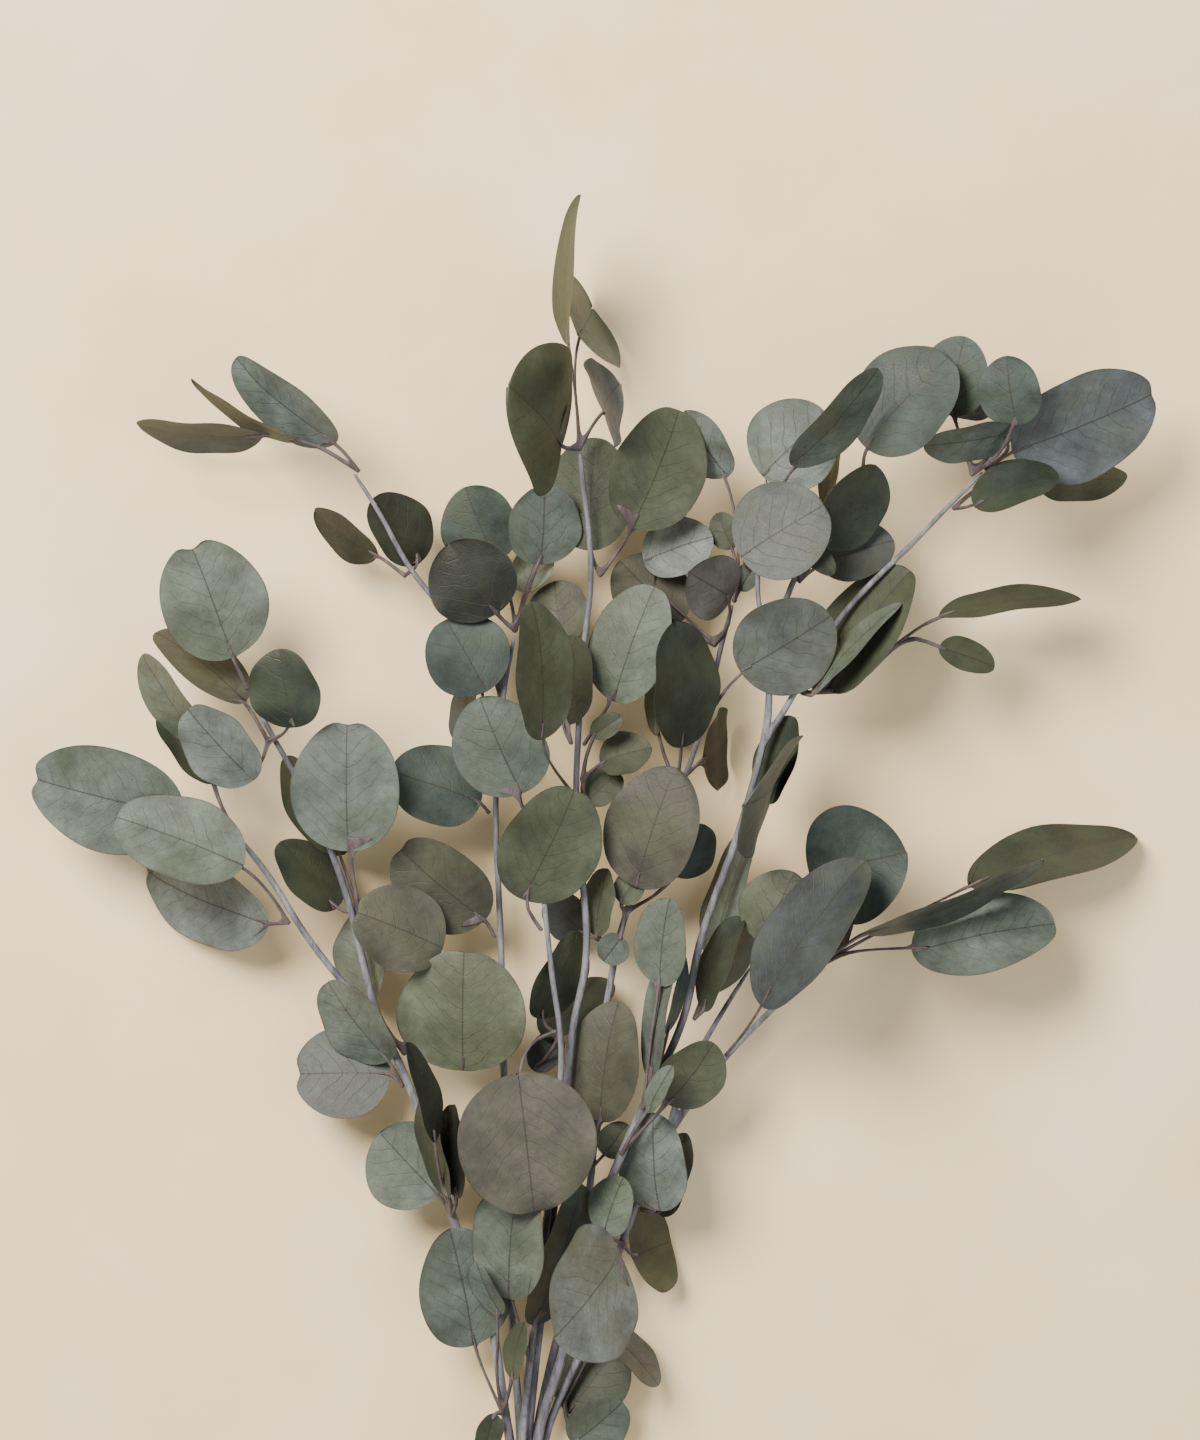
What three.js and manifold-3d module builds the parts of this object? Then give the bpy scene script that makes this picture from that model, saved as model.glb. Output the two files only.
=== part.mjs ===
// A bunch of cut silver dollar eucalyptus branches, tied at the stems and lying on its back.
// Units are millimetres. While it is laid out, X runs across the bunch, Y runs from the cut
// ends to the crown and Z rises from the surface that the bunch lies on. At the end the whole
// bunch is moved so that the middle of its underside is the origin.
import * as THREE from "three";
import { LoftGeometry } from "three/addons/geometries/LoftGeometry.js";
import { mergeVertices } from "three/addons/utils/BufferGeometryUtils.js";
import Module from "manifold-3d";

const wasm = await Module();
wasm.setup();

// Driving dimensions.
const STEM_PITCH = 6.3; // between stem centres where the tie holds them
const STEM_STEP = 26; // length of a stem between two sections
const STEM_SIDES = 6;
const BUNDLE = { x: 3, z: 12 }; // middle of the bundle of stems at the tie
const TIE_Y = -20;
const TIE = { inner: 10.4, outer: 12, width: 14 };
const CUT_Y = -100; // where the stems are cut
const CUT_SPREAD = 1.5; // how much wider the cut ends stand than the tie holds them
const LEAF_THICKNESS = 1.1; // along the midrib, thinning to the rim
const LEAF_BEND = 0.05; // height of the midrib's arch, as a share of its length
const LEAF_CUP = 0.1; // lift of the rim, as a share of the half width
const LEAF_STATIONS = [0, 0.18, 0.5, 0.8, 1]; // sections of a blade, as shares of its length
const PETIOLE_RADIUS = { start: 0.9, end: 0.7, spread: 0.07 }; // each stalk of a sprig is thicker
const PETIOLE_SIDES = 4;
const PETIOLE_STEP = 18;
const PETIOLE_REACH = 0.12; // how far a stalk runs into its blade, as a share of its length
const KNUCKLE_RADIUS = 1.4; // swelling where a twig leaves its stem
const GAP = 0.35; // kept between pieces that touch
const CLEARANCE = 0.3; // kept round a leaf as it finds its place
const LIFT_STEP = 2;
const LIFT_LIMIT = 90;
const LAYER_RISE = 4; // first height of a leaf above or below its twig, for each layer

const BARK = { color: 0x6f6c7b, roughness: 0.75, metalness: 0 };
const TWINE = { color: 0xa98d5f, roughness: 0.9, metalness: 0 };
const FOLIAGE = { color: 0x7f8a78, roughness: 0.6, metalness: 0 };

// ---- Solids ---------------------------------------------------------------------------------

function toSolid(geometry) {
  const bare = new THREE.BufferGeometry();
  bare.setAttribute("position", geometry.getAttribute("position"));
  bare.setIndex(geometry.getIndex());
  const merged = mergeVertices(bare, 1e-4);
  return new wasm.Manifold(
    new wasm.Mesh({
      numProp: 3,
      vertProperties: merged.attributes.position.array,
      triVerts: new Uint32Array(merged.index.array),
    }),
  );
}

// A skin over sections of the same number of points, closed at both ends with a fan.
function loftSolid(sections) {
  const skin = new LoftGeometry(sections);
  const index = [...skin.getIndex().array];
  const corners = sections[0].length;
  const last = (sections.length - 1) * (corners + 1);
  for (let k = 1; k < corners - 1; k++) {
    index.push(0, k + 1, k);
    index.push(last, last + k, last + k + 1);
  }
  skin.setIndex(index);
  return toSolid(skin);
}

function toMesh(name, solid, finish) {
  const data = solid.getMesh();
  const geometry = new THREE.BufferGeometry();
  geometry.setAttribute("position", new THREE.BufferAttribute(data.vertProperties, 3));
  geometry.setIndex(new THREE.BufferAttribute(data.triVerts, 1));
  geometry.computeVertexNormals();
  const mesh = new THREE.Mesh(geometry, new THREE.MeshStandardMaterial(finish));
  mesh.name = name;
  return mesh;
}

function curveThrough(points) {
  return new THREE.CatmullRomCurve3(points, false, "centripetal");
}

// A round rod along a curve, tapering from one radius to the other.
function rod(curve, startRadius, endRadius, sides, step) {
  const count = Math.max(2, Math.round(curve.getLength() / step));
  const frames = curve.computeFrenetFrames(count, false);
  const sections = [];
  for (let i = 0; i <= count; i++) {
    const centre = curve.getPointAt(i / count);
    const radius = THREE.MathUtils.lerp(startRadius, endRadius, i / count);
    const ring = [];
    for (let k = 0; k < sides; k++) {
      const angle = (2 * Math.PI * k) / sides;
      ring.push(
        centre
          .clone()
          .addScaledVector(frames.normals[i], radius * Math.cos(angle))
          .addScaledVector(frames.binormals[i], radius * Math.sin(angle)),
      );
    }
    sections.push(ring);
  }
  return loftSolid(sections);
}

// ---- Stems ----------------------------------------------------------------------------------

// Each stem runs from its cut end through the tie and then along its route. Its slot is its
// place in the tied bundle: the ring of six round the middle one, in turns of 60 degrees from
// the right, seen from the cut ends.
const STEMS = [
  {
    name: "stem_left",
    slot: 3,
    radius: [3, 1.5],
    route: [
      [-10, 10, 15], [-12, 44, 21], [-20, 70, 25], [-27, 85, 27], [-38, 120, 31],
      [-55, 173, 36], [-70, 205, 40], [-80, 217, 41], [-92, 232, 42], [-103, 242, 43],
      [-115, 262, 44], [-128, 285, 45], [-141, 300, 46],
    ],
    branches: [
      {
        radius: [2.1, 1.2],
        route: [
          [-70, 205, 40], [-79, 235, 43], [-84, 262, 45], [-88, 275, 46], [-97, 300, 48],
          [-118, 342, 50], [-126, 354, 51], [-136, 374, 51],
        ],
      },
    ],
  },
  {
    name: "stem_back",
    slot: 4,
    radius: [2.4, 1.2],
    route: [
      [-4, 40, 11], [-7, 100, 18], [-9, 200, 27], [-10, 250, 32], [-12, 290, 35],
      [-13, 316, 37], [-11, 350, 39], [-7, 385, 40], [-3, 403, 41],
    ],
    branches: [
      {
        radius: [1.7, 1],
        route: [
          [-8, 375, 40], [-28, 405, 42], [-50, 427, 43], [-60, 441, 44], [-71, 466, 45],
          [-84, 484, 46],
        ],
      },
    ],
  },
  {
    name: "stem_front",
    slot: 2,
    radius: [2.3, 1.2],
    route: [
      [5, 40, 25], [12, 100, 34], [19, 160, 42], [21, 205, 48], [17, 222, 49],
      [15, 240, 51], [12, 270, 52], [9, 290, 53], [8, 300, 54],
    ],
    branches: [],
  },
  {
    name: "stem_centre",
    slot: "middle",
    radius: [2.7, 1.2],
    route: [
      [8, 40, 20], [15, 100, 27], [24, 180, 36], [24, 203, 38], [30, 218, 39],
      [35, 248, 42], [32, 268, 43], [30, 290, 44], [28, 310, 45], [28, 335, 46],
      [30, 365, 48], [31, 400, 49], [37, 426, 51], [36, 443, 52], [33, 465, 54],
      [30, 494, 55],
    ],
    branches: [],
  },
  {
    name: "stem_back_right",
    slot: 5,
    radius: [2.5, 1.2],
    route: [
      [17, 40, 13], [35, 120, 22], [38, 175, 27], [41, 203, 30], [46, 230, 33],
      [51, 258, 36], [57, 274, 38], [68, 300, 40], [82, 327, 42], [88, 345, 43],
      [95, 366, 44], [97, 384, 45], [101, 398, 46], [107, 418, 47],
    ],
    branches: [],
  },
  {
    name: "stem_right_tall",
    slot: 1,
    radius: [3, 1.3],
    route: [
      [22, 40, 25], [42, 120, 39], [53, 146, 43], [63, 168, 46], [74, 190, 49],
      [83, 208, 51], [88, 243, 54], [97, 270, 55], [106, 293, 56], [120, 340, 58],
      [125, 365, 60], [125, 398, 61], [133, 420, 61], [141, 440, 62], [155, 463, 63],
      [170, 478, 63],
    ],
    branches: [
      {
        radius: [1.7, 1.1],
        route: [
          [122, 348, 58.7], [131, 360, 58], [137, 373, 57], [147, 390, 55],
          [157, 408, 55], [170, 422, 55], [185, 438, 55], [200, 451, 55], [217, 470, 57],
          [232, 484, 58],
        ],
      },
      {
        radius: [1.4, 1],
        route: [[125, 396, 61], [119, 412, 59], [118, 430, 57], [121, 453, 56], [128, 468, 56]],
      },
    ],
  },
  {
    name: "stem_right_low",
    slot: 0,
    radius: [2.6, 1.3],
    route: [
      [31, 40, 19], [52, 97, 26], [62, 125, 30], [76, 153, 33], [90, 172, 36],
      [100, 187, 38], [112, 200, 40], [130, 217, 42], [146, 233, 43],
    ],
    branches: [
      {
        radius: [1.6, 1.1],
        route: [[74, 150, 32.9], [81, 176, 37], [99, 209, 42], [110, 225, 43], [116, 236, 45]],
      },
    ],
  },
];

function bundlePlace(slot, spread, y) {
  const reach = slot === "middle" ? 0 : STEM_PITCH * spread;
  const angle = slot === "middle" ? 0 : (slot * Math.PI) / 3;
  return new THREE.Vector3(
    BUNDLE.x + reach * Math.cos(angle),
    y,
    BUNDLE.z + reach * Math.sin(angle),
  );
}

function stemAxes(stem) {
  const tied = [
    bundlePlace(stem.slot, CUT_SPREAD, CUT_Y),
    bundlePlace(stem.slot, 1.1, (CUT_Y + TIE_Y) / 2),
    bundlePlace(stem.slot, 1, TIE_Y - 10),
    bundlePlace(stem.slot, 1, TIE_Y + 10),
  ];
  const main = {
    curve: curveThrough([...tied, ...stem.route.map((p) => new THREE.Vector3(...p))]),
    radius: stem.radius,
  };
  const side = stem.branches.map((branch) => ({
    curve: curveThrough(branch.route.map((p) => new THREE.Vector3(...p))),
    radius: branch.radius,
  }));
  return [main, ...side];
}

function stemSolid(axes) {
  let solid = null;
  for (const { curve, radius } of axes) {
    const piece = rod(curve, radius[0], radius[1], STEM_SIDES, STEM_STEP);
    solid = solid ? solid.add(piece) : piece;
  }
  return solid;
}

// The place on a stem nearest to a point of the plan, with the stem's direction and radius.
function placeOnStem(axes, [x, y]) {
  const samples = 240;
  let best = { distance: Infinity };
  for (const { curve, radius } of axes) {
    for (let i = 0; i <= samples; i++) {
      const point = curve.getPointAt(i / samples);
      const distance = Math.hypot(point.x - x, point.y - y);
      if (distance < best.distance) {
        best = {
          distance,
          point,
          radius: THREE.MathUtils.lerp(radius[0], radius[1], i / samples),
          along: curve.getTangentAt(i / samples),
          last: i === samples,
        };
      }
    }
  }
  return best;
}

// ---- Leaves ---------------------------------------------------------------------------------

// Half width of a leaf, as a share of its greatest, at a share of its length.
function leafOutline(share) {
  return Math.sqrt(Math.max(0, 4 * share * (1 - share))) * (1 + 0.16 * (0.5 - share));
}

// A leaf's own directions, turned about its midrib by roll degrees: its right side, seen from
// the front with the tip up, comes forward when roll is positive.
function leafFrame(base, tip, roll) {
  const forward = tip.clone().sub(base);
  const length = forward.length();
  forward.normalize();
  const right = new THREE.Vector3(forward.y, -forward.x, 0).normalize();
  right.applyAxisAngle(forward, THREE.MathUtils.degToRad(-roll));
  const front = right.clone().cross(forward);
  return { base, forward, right, front, length };
}

function midribPoint({ base, forward, front, length }, share) {
  const arch = 4 * share * (1 - share) * LEAF_BEND * length;
  return base.clone().addScaledVector(forward, share * length).addScaledVector(front, arch);
}

function bladeSolid(frame, width, extra) {
  const { right, front } = frame;
  const sections = LEAF_STATIONS.map((share) => {
    const half = Math.max(0.9, (width / 2) * leafOutline(share)) + extra;
    const depth = LEAF_THICKNESS / 2 + extra;
    const centre = midribPoint(frame, share);
    return [
      centre.clone().addScaledVector(right, half).addScaledVector(front, half * LEAF_CUP),
      centre.clone().addScaledVector(front, -depth),
      centre.clone().addScaledVector(right, -half).addScaledVector(front, half * LEAF_CUP),
      centre.clone().addScaledVector(front, depth),
    ];
  });
  return loftSolid(sections);
}

// A leaf's stalk, from its knuckle through the points of the plan to inside the blade.
function petioleSolid(root, via, frame, order, extra) {
  const { base } = frame;
  const plan = [new THREE.Vector2(root.x, root.y)];
  via.forEach(([x, y]) => plan.push(new THREE.Vector2(x, y)));
  plan.push(new THREE.Vector2(base.x, base.y));
  const run = [0];
  for (let i = 1; i < plan.length; i++) run.push(run[i - 1] + plan[i].distanceTo(plan[i - 1]));
  const points = plan.map((p, i) => {
    const share = THREE.MathUtils.smoothstep(run[i] / run[run.length - 1], 0, 1);
    return new THREE.Vector3(p.x, p.y, THREE.MathUtils.lerp(root.z, base.z, share));
  });
  points.push(midribPoint(frame, PETIOLE_REACH));
  const swell = order * PETIOLE_RADIUS.spread + extra;
  return rod(
    curveThrough(points),
    PETIOLE_RADIUS.start + swell,
    PETIOLE_RADIUS.end + swell,
    PETIOLE_SIDES,
    PETIOLE_STEP,
  );
}

// One leaf on its twig. Layers count outwards from the stem: 1, 2, 3 in front of it and
// -1, -2 behind it. Slope is how much higher the tip is than the base.
function leaf(base, tip, width, roll, layer, slope = 0, via = []) {
  return { base, tip, width, roll, layer, slope, via };
}

// Leaves that share a knuckle on a stem. The knuckle is on the side of the stem that the first
// leaf leaves from, or in front of the stem.
function sprig(name, stem, at, leaves, side = "beside") {
  return { name, stem, at, leaves, side };
}

const SPRIGS = [
  // Crown, upper left.
  sprig("leaves_top_left_end", "stem_back", [-84, 483], [
    leaf([-92, 499], [-143, 541], 40, 53, 2, 6, [[-87, 492]]),
    leaf([-112, 500], [-166, 531], 26, 76, 1, -6, [[-98, 496]]),
    leaf([-130, 503], [-195, 510], 34, 66, -1, -10, [[-100, 497], [-114, 503]]),
  ]),
  sprig("leaves_top_left_low", "stem_back", [-56, 434], [
    leaf([-72, 443], [-104, 466], 34, 60, -1, -8),
    leaf([-50, 440], [-74, 472], 38, -38, -2, 8),
  ]),
  sprig("leaves_crown_left_top", "stem_back", [-3, 404], [
    leaf([-12, 440], [-28, 477], 42, 22, -1, 6, [[-5, 425]]),
    leaf([10, 438], [12, 478], 40, -24, 1, 8, [[3, 424]]),
    leaf([2, 424], [13, 450], 30, 46, -2, -8),
    leaf([-12, 413], [-36, 448], 46, 14, 2, 6),
  ]),
  sprig("leaves_crown_left_low", "stem_back", [-12, 340], [
    leaf([-17, 374], [-38, 411], 44, -14, 1, -6, [[-18, 356]]),
    leaf([-30, 346], [-24, 380], 28, 62, -1, 4),
  ]),
  sprig("leaf_crown_grey_green", "stem_front", [8, 300], [
    leaf([1, 323], [-20, 371], 48, 14, 2, 10, [[2, 310]]),
  ]),
  sprig("leaf_crown_olive", "stem_centre", [27, 325], [
    leaf([11, 350], [7, 418], 44, -50, 2, 8, [[21, 330], [16, 337]]),
  ]),
  sprig("leaves_crown_back", "stem_centre", [29, 348], [
    leaf([21, 358], [28, 402], 42, 42, -1, 6),
    leaf([22, 398], [17, 430], 34, 20, -2, -6, [[22, 366]]),
  ]),
  // Far left.
  sprig("leaves_far_left_notched", "stem_left", [-141, 300], [
    leaf([-169, 312], [-247, 331], 54, 14, 1, -8, [[-155, 304]]),
    leaf([-154, 328], [-182, 363], 34, -54, -1, -4, [[-150, 314]]),
    leaf([-157, 347], [-188, 393], 38, 56, 1, 6, [[-150, 314], [-154, 332]]),
  ]),
  sprig("leaves_left_pair", "stem_left", [-113, 259], [
    leaf([-127, 257], [-194, 283], 46, 28, -1, -39),
    leaf([-138, 287], [-203, 311], 46, -28, 1, -6, [[-126, 274]]),
  ]),
  sprig("leaves_left_top", "stem_left", [-124, 351], [
    leaf([-132, 330], [-165, 366], 42, 36, 2, 6),
    leaf([-138, 369], [-184, 404], 40, -54, -1, -6),
    leaf([-112, 356], [-119, 395], 40, 26, 1, 8),
  ]),
  sprig("leaf_left_top_notched", "stem_left", [-136, 374], [
    leaf([-144, 391], [-165, 449], 54, -14, 1, 8),
  ]),
  sprig("leaves_left_middle", "stem_left", [-84, 262], [
    leaf([-86, 294], [-86, 360], 56, 10, 3, 10, [[-82, 272], [-84, 282]]),
    leaf([-89, 292], [-117, 343], 42, 56, -1, 4, [[-86, 276]]),
    leaf([-94, 264], [-122, 298], 38, -48, -1, -6),
  ]),
  sprig("leaf_left_inner_brown", "stem_back", [-10, 250], [
    leaf([-18, 259], [-62, 296], 46, 22, 1, 8),
  ]),
  sprig("leaf_left_inner_teal", "stem_back", [-13, 314], [
    leaf([-20, 318], [-66, 334], 44, -25, 1, 6),
  ]),
  sprig("leaves_left_low_pair", "stem_left", [-62, 190], [
    leaf([-39, 245], [-84, 264], 46, -24, 2, 8, [[-50, 215]]),
    leaf([-75, 219], [-84, 262], 40, 48, -2, -6, [[-69, 205]]),
  ]),
  sprig("leaf_round_front", "stem_back", [-9, 205], [
    leaf([-29, 183], [-28, 245], 66, 8, 3, 14, [[-20, 188]]),
  ]),
  sprig("leaf_centre_olive", "stem_front", [14, 255], [
    leaf([1, 270], [28, 326], 52, -20, 1, 10),
  ]),
  sprig("leaves_centre_dark", "stem_back_right", [49, 247], [
    leaf([38, 251], [44, 285], 26, 50, 1, 4),
    leaf([32, 251], [14, 272], 28, 36, -1, -6),
  ]),
  sprig("leaves_centre_low", "stem_centre", [24, 201], [
    leaf([8, 209], [28, 253], 38, -52, -1, 6),
    leaf([10, 200], [47, 226], 34, 48, -1, -4),
    leaf([6, 182], [20, 200], 18, 20, -1, -4, [[14, 190]]),
  ]),
  // Low left and the neck.
  sprig("leaves_low_left_pair", "stem_left", [-57, 176], [
    leaf([-66, 188], [-97, 229], 44, 46, 1, 6),
    leaf([-66, 181], [-115, 180], 48, -16, -1, -8),
  ]),
  sprig("leaves_low_left_folded", "stem_left", [-35, 110], [
    leaf([-41, 120], [-71, 151], 48, 10, 1, -8),
    leaf([-36, 120], [-46, 178], 34, 66, 2, 6),
    leaf([-42, 150], [-56, 200], 26, -66, 3, 4, [[-40, 132]]),
    leaf([-31, 120], [-33, 168], 32, 62, 2, 4),
  ], "front"),
  sprig("leaf_front_largest", "stem_front", [21, 204], [
    leaf([-1, 184], [7, 113], 70, 8, 4, -10, [[12, 203], [4, 197]]),
  ]),
  sprig("leaves_neck_front", "stem_front", [5, 36], [
    leaf([-6, 68], [0, 130], 46, 36, 2, 8, [[1, 50]]),
    leaf([6, 54], [30, 126], 42, -52, 1, 6),
  ], "front"),
  sprig("leaves_neck_right", "stem_right_low", [51, 96], [
    leaf([50, 91], [17, 54], 72, 34, 3, 42),
    leaf([42, 101], [52, 130], 28, 36, 1, 4),
    leaf([56, 88], [77, 94], 46, 0, -1, -20),
  ]),
  sprig("leaves_neck_low_right", "stem_right_low", [21, 12], [
    leaf([43, 50], [70, 21], 28, 60, 1, 4, [[30, 28], [38, 44]]),
    leaf([24, 6], [50, 40], 40, 20, -1, -4),
    leaf([26, -8], [52, 14], 34, -26, 1, 2),
  ]),
  sprig("leaves_neck_left", "stem_left", [-10, 8], [
    leaf([-24, 43], [-36, 103], 50, -22, 1, 8, [[-17, 25]]),
    leaf([-10, 60], [-22, 87], 22, 54, 3, 4, [[-13, 30]]),
    leaf([-4, 27], [2, 57], 20, 56, 2, 4),
    leaf([-14, 8], [-21, -14], 18, 40, 1, -2),
  ], "front"),
  // Crown, top.
  sprig("leaves_top", "stem_centre", [30, 494], [
    leaf([24, 547], [30, 622], 38, 74, 1, 6, [[29, 512], [27, 530]]),
    leaf([29, 553], [35, 570], 58, -41, -1, -50.4, [[29, 512], [27, 530]]),
    leaf([42, 513], [49, 525], 46, 40, 1, 42, [[32, 503]]),
    leaf([21, 496], [-4, 523], 78, -40, 2, 52),
  ]),
  sprig("leaves_top_stem", "stem_centre", [37, 431], [
    leaf([56, 456], [80, 515], 50, -22, 2, 6, [[47, 440]]),
    leaf([35, 445], [38, 502], 46, 20, -2, -4),
  ]),
  sprig("leaves_top_right_small", "stem_back_right", [107, 418], [
    leaf([104, 482], [83, 515], 34, 48, 1, 6, [[110, 440], [108, 462]]),
    leaf([107, 446], [99, 464], 16, 16, -1, -2, [[110, 434]]),
    leaf([110, 425], [119, 440], 12, 0, -1, 2),
  ]),
  sprig("leaves_crown_right", "stem_back_right", [100, 396], [
    leaf([62, 440], [97, 452], 34, 26, -2, 6, [[80, 415], [66, 428]]),
    leaf([79, 407], [50, 440], 42, -24, -1, -6),
    leaf([106, 421], [84, 433], 34, 0, 2, 24, [[106, 408]]),
  ]),
  sprig("leaf_crown_light_half", "stem_centre", [29, 348], [
    leaf([47, 369], [68, 427], 46, 30, 1, 8, [[38, 358]]),
  ]),
  sprig("leaves_right_inner", "stem_back_right", [81, 326], [
    leaf([81, 346], [78, 409], 46, -44, 1, 8),
    leaf([68, 352], [82, 408], 32, 68, -2, 4, [[74, 338]]),
    leaf([92, 340], [105, 352], 44, -46, -1, -26),
  ]),
  sprig("leaves_top_right_end", "stem_right_tall", [128, 468], [
    leaf([121, 482], [154, 513], 48, 12, 1, 6),
    leaf([135, 486], [177, 534], 40, -58, 1, 6),
  ]),
  sprig("leaf_top_right_large", "stem_right_tall", [170, 478], [
    leaf([172, 496], [214, 541], 54, 27, 1, 6),
  ]),
  sprig("leaves_far_right_up", "stem_right_tall", [228, 481], [
    leaf([214, 512], [222, 551], 36, 20, 1, 6, [[222, 498]]),
    leaf([243, 523], [212, 520], 26, 44, -1, 4, [[240, 498], [246, 512]]),
    leaf([247, 506], [241, 540], 34, 28, 2, 6, [[240, 492]]),
  ]),
  sprig("leaves_far_right_end", "stem_right_tall", [232, 484], [
    leaf([246, 494], [318, 524], 56, -26, 1, -6),
    leaf([247, 504], [200, 497], 34, 60, 1, 6, [[245, 494]]),
  ]),
  sprig("leaves_far_right_low", "stem_right_tall", [215, 468], [
    leaf([226, 466], [268, 484], 36, 50, 1, -4),
    leaf([258, 484], [306, 482], 34, -56, -1, -4, [[233, 479], [245, 482]]),
  ]),
  sprig("leaves_right_long_twig", "stem_right_tall", [138, 375], [
    leaf([153, 375], [196, 435], 50, 44, -1, 6),
    leaf([146, 372], [190, 418], 26, 66, 1, 4),
    leaf([210, 412], [282, 420], 34, 66, -1, -6, [[165, 376], [193, 402]]),
    leaf([210, 396], [238, 386], 22, 40, -1, -4, [[165, 376], [193, 402]]),
  ]),
  sprig("leaves_right_back", "stem_right_tall", [137, 430], [
    leaf([152, 446], [178, 487], 40, -40, -1, 6),
    leaf([153, 465], [161, 500], 20, 66, -2, 4, [[146, 450]]),
    leaf([150, 438], [188, 450], 34, 26, -1, -4),
    leaf([140, 446], [156, 432], 14, 30, 1, 4),
  ]),
  sprig("leaf_right_light_round", "stem_right_tall", [119, 434], [
    leaf([110, 441], [152, 467], 50, 12, 1, 6),
  ]),
  sprig("leaf_right_grey_round", "stem_back_right", [96, 369], [
    leaf([110, 384], [155, 412], 50, -16, 1, 6, [[103, 375]]),
  ]),
  sprig("leaves_centre_back_small", "stem_centre", [28, 330], [
    leaf([40, 338], [66, 346], 26, 34, -1, 4),
    leaf([33, 318], [50, 334], 20, 20, -2, -4),
    leaf([36, 352], [51, 362], 12, 0, 1, 4, [[33, 342]]),
  ]),
  sprig("leaves_right_inner_low", "stem_right_tall", [114, 318], [
    leaf([124, 318], [138, 362], 36, 58, -1, 6),
    leaf([129, 331], [110, 318], 68, 58, 1, 56, [[124, 326]]),
  ]),
  // Right and low right.
  sprig("leaves_right_centre_front", "stem_back_right", [53, 264], [
    leaf([58, 276], [78, 336], 50, 22, 2, 10),
    leaf([78, 281], [93, 308], 28, -36, 1, 4, [[68, 271]]),
    leaf([50, 268], [62, 284], 18, 30, 1, 2),
    leaf([51, 251], [41, 238], 18, 20, 1, 2),
  ], "front"),
  sprig("leaves_right_narrow", "stem_right_tall", [62, 165], [
    leaf([66, 177], [78, 247], 28, 64, 1, 4),
    leaf([73, 203], [82, 245], 14, -64, 3, 4, [[70, 184]]),
    leaf([70, 227], [75, 271], 34, 40, 2, 6, [[64, 182], [66, 205]]),
  ], "front"),
  sprig("leaves_centre_tan", "stem_back_right", [36, 134], [
    leaf([40, 157], [49, 218], 44, 34, 1, 6),
    leaf([42, 140], [54, 156], 18, 0, 2, 2),
  ], "front"),
  sprig("leaves_right_slender", "stem_right_tall", [83, 210], [
    leaf([92, 214], [111, 262], 34, 64, 1, 4),
    leaf([96, 222], [122, 275], 36, -64, -1, 4),
    leaf([97, 234], [119, 306], 42, 66, -2, 6, [[94, 226]]),
  ]),
  sprig("leaves_right_fan", "stem_right_low", [117, 238], [
    leaf([122, 248], [137, 284], 40, 24, 1, 4),
    leaf([145, 283], [192, 294], 60, 0, 1, 28, [[122, 256], [132, 274]]),
  ]),
  sprig("leaf_right_slate", "stem_right_low", [104, 192], [
    leaf([120, 218], [172, 290], 52, 48, 2, 8, [[112, 203]]),
  ], "front"),
  sprig("leaves_far_right_low_twig", "stem_right_low", [146, 233], [
    leaf([197, 243], [270, 257], 48, 36, 1, -6, [[158, 241], [176, 246]]),
    leaf([172, 253], [262, 292], 34, -70, 1, 4, [[158, 243]]),
    leaf([226, 276], [314, 299], 44, 52, -1, -36.5, [[158, 241], [190, 258]]),
    leaf([150, 242], [168, 258], 22, 46, -1, 4),
  ]),
  sprig("leaves_neck_twig", "stem_right_tall", [52, 143], [
    leaf([74, 167], [97, 198], 36, -26, 1, 6, [[60, 153]]),
    leaf([64, 164], [77, 188], 14, 46, 2, 4, [[56, 153]]),
  ], "front"),
  sprig("leaves_neck_right_back", "stem_right_low", [58, 113], [
    leaf([70, 112], [67, 162], 42, 34, 1, 6),
    leaf([72, 108], [84, 150], 32, 52, -1, -4),
  ]),
];

// ---- The whole bunch ------------------------------------------------------------------------

function boxesMeet(a, b) {
  return [0, 1, 2].every((axis) => a.min[axis] <= b.max[axis] && b.min[axis] <= a.max[axis]);
}

function clashes(solid, others) {
  const box = solid.boundingBox();
  return others.some(
    (other) => boxesMeet(box, other.box) && solid.intersect(other.solid).volume() > 0,
  );
}

function placed(solid) {
  return { solid, box: solid.boundingBox() };
}

function rootOf(axes, branch) {
  const place = placeOnStem(axes, branch.at);
  const reach = GAP + KNUCKLE_RADIUS;
  if (place.last) return place.point.clone().addScaledVector(place.along, reach);
  const first = branch.leaves[0];
  const [x, y] = first.via.length ? first.via[0] : first.base;
  const out = new THREE.Vector3(x - place.point.x, y - place.point.y, 0);
  if (branch.side === "front") out.set(0, 0, 1);
  out.addScaledVector(place.along, -out.dot(place.along)).normalize();
  return place.point.clone().addScaledVector(out, place.radius + reach);
}

function buildLeaf(root, item, lift, extra) {
  const height = root.z + Math.sign(item.layer) * (Math.abs(item.layer) * LAYER_RISE + lift);
  const base = new THREE.Vector3(item.base[0], item.base[1], height);
  const tip = new THREE.Vector3(item.tip[0], item.tip[1], height + item.slope);
  const frame = leafFrame(base, tip, item.roll);
  return {
    blade: bladeSolid(frame, item.width, extra),
    petiole: petioleSolid(root, item.via, frame, item.order, extra),
  };
}

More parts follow.
